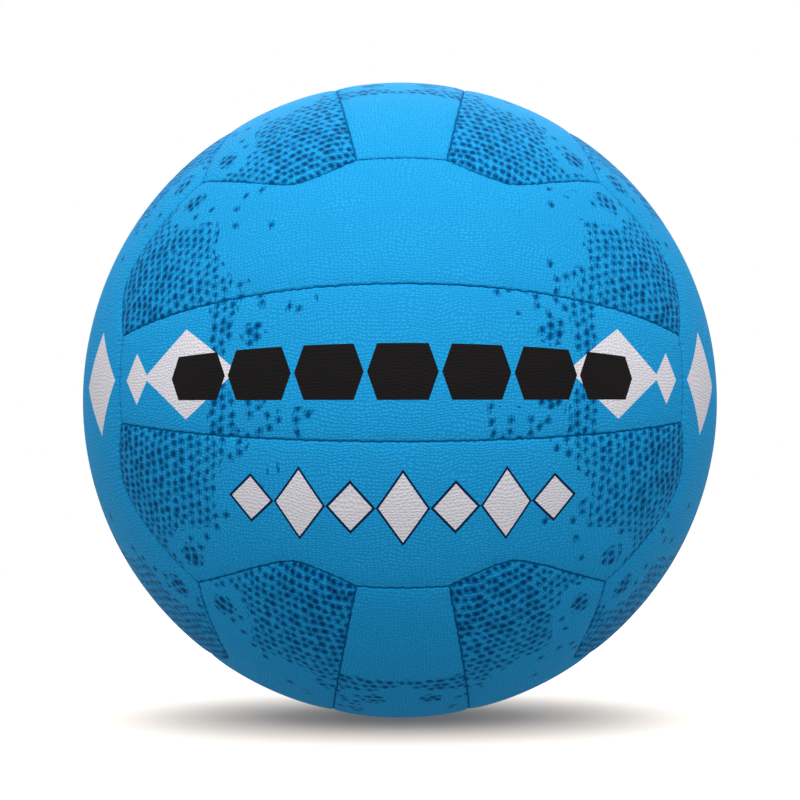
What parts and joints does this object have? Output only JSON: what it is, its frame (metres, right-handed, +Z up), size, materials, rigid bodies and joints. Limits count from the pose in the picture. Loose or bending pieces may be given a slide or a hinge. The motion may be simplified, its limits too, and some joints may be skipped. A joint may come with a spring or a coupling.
{
  "type": "netball",
  "caption": "Round inflatable ball of stitched, cloth-lined strip panels with waved face seams, over a rubber bladder with a recessed needle valve.",
  "frame": {"origin": "centre of the ball", "axes": "+Z up, -Y out of the front face that the picture shows, +Y along the valve, out of its mouth"},
  "size_m": [0.2228, 0.2227, 0.2228],
  "materials": {
    "cover": "satin, fine grip pebble",
    "lining_cloth": "woven cloth, matte",
    "thread": "waxed thread",
    "bladder_rubber": "matte",
    "valve_rubber": "matte",
    "valve_plug_rubber": "matte"
  },
  "bodies": {
    "root": {"cover_front_upper": "cover", "cover_front_middle": "cover", "cover_front_lower": "cover", "cover_back_upper": "cover", "cover_back_middle": "cover", "cover_back_lower": "cover", "cover_top_left": "cover", "cover_top_middle": "cover", "cover_top_right": "cover", "cover_bottom_left": "cover", "cover_bottom_middle": "cover", "cover_bottom_right": "cover", "cover_left_front": "cover", "cover_left_middle": "cover", "cover_left_back": "cover", "cover_right_front": "cover", "cover_right_middle": "cover", "cover_right_back": "cover", "lining_front_upper": "lining_cloth", "lining_front_middle": "lining_cloth", "lining_front_lower": "lining_cloth", "lining_back_upper": "lining_cloth", "lining_back_middle": "lining_cloth", "lining_back_lower": "lining_cloth", "lining_top_left": "lining_cloth", "lining_top_middle": "lining_cloth", "lining_top_right": "lining_cloth", "lining_bottom_left": "lining_cloth", "lining_bottom_middle": "lining_cloth", "lining_bottom_right": "lining_cloth", "lining_left_front": "lining_cloth", "lining_left_middle": "lining_cloth", "lining_left_back": "lining_cloth", "lining_right_front": "lining_cloth", "lining_right_middle": "lining_cloth", "lining_right_back": "lining_cloth", "stitches_front_strips": "thread", "stitches_back_strips": "thread", "stitches_top_strips": "thread", "stitches_bottom_strips": "thread", "stitches_left_strips": "thread", "stitches_right_strips": "thread", "stitches_front_edges": "thread", "stitches_back_edges": "thread", "stitches_top_edges": "thread", "stitches_bottom_edges": "thread", "stitches_left_edges": "thread", "stitches_right_edges": "thread", "bladder": "bladder_rubber", "valve_patch": "valve_rubber", "valve_housing": "valve_rubber", "valve_plug": "valve_plug_rubber"}
  },
  "joints": []
}
